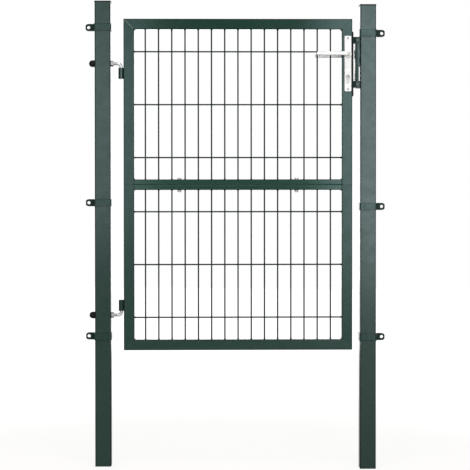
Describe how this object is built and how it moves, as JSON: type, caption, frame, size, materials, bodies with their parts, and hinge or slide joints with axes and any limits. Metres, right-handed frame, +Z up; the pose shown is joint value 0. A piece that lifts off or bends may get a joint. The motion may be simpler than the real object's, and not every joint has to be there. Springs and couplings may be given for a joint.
{
  "type": "pedestrian gate",
  "caption": "Single-leaf garden gate: welded wire-mesh leaf in a square-tube frame, hung on hook hinges between square posts, with lever lock, keeper and fence clamps.",
  "frame": {"origin": "centre of the hinge post's foot", "axes": "+X from the hinge post to the latch post, +Y to the back of the gate, +Z up along the posts"},
  "size_m": [1.1308, 0.14, 1.767],
  "materials": {
    "green_paint": "grey-green powder coat, slight orange peel",
    "cap_plastic": "dark moulded plastic",
    "cover_plastic": "black moulded plastic",
    "zinc": "bright zinc plate",
    "black_steel": "black paint",
    "satin_aluminium": "satin anodised",
    "nickel": "nickel-plated brass"
  },
  "bodies": {
    "posts": {"hinge_post": "green_paint", "latch_post": "green_paint", "hinge_post_cap": "cap_plastic", "latch_post_cap": "cap_plastic", "hinge_clamp_bottom": "green_paint", "hinge_clamp_middle": "green_paint", "hinge_clamp_top": "green_paint", "latch_clamp_bottom": "green_paint", "latch_clamp_middle": "green_paint", "latch_clamp_top": "green_paint", "upper_hinge_hook": "zinc", "lower_hinge_hook": "zinc", "upper_hook_nuts": "zinc", "lower_hook_nuts": "zinc", "upper_nut_cover": "cover_plastic", "lower_nut_cover": "cover_plastic", "keeper": "green_paint", "keeper_top_stop": "green_paint", "keeper_bottom_stop": "green_paint"},
    "leaf": {"top_rail": "green_paint", "bottom_rail": "green_paint", "upper_meeting_rail": "green_paint", "lower_meeting_rail": "green_paint", "upper_hinge_stile": "green_paint", "lower_hinge_stile": "green_paint", "upper_latch_stile": "green_paint", "lower_latch_stile": "green_paint", "upper_mesh": "green_paint", "lower_mesh": "green_paint", "upper_hinge_barrel": "green_paint", "lower_hinge_barrel": "green_paint", "hinge_side_joining_bolt": "zinc", "latch_side_joining_bolt": "zinc", "lock_case": "zinc", "lock_forend": "black_steel", "deadbolt": "zinc", "front_lock_plate": "satin_aluminium", "rear_lock_plate": "satin_aluminium", "key_cylinder": "nickel"},
    "handle": {"handle_spindle": "zinc", "front_lever": "satin_aluminium", "rear_lever": "satin_aluminium"},
    "latch_bolt": {"latch": "zinc"}
  },
  "joints": [
    {"name": "leaf_swing", "type": "hinge", "parent": "posts", "child": "leaf", "pos_m": [0.0678, 0, 1.063], "axis": [0, 0, 1], "range_deg": [0, 90]},
    {"name": "handle_turn", "type": "hinge", "parent": "leaf", "child": "handle", "pos_m": [0.924, 0, 1.555], "axis": [0, -1, 0], "range_deg": [0, 45], "stiffness_Nm_per_rad": 1.5, "springref_deg": -22.92},
    {"name": "latch_slide", "type": "slide", "parent": "leaf", "child": "latch_bolt", "axis": [-1, 0, 0], "range_m": [0, 0.0145]}
  ],
  "couplings": [
    {"joint": "latch_slide", "follows": "handle_turn", "m_per_rad": 0.01846}
  ]
}
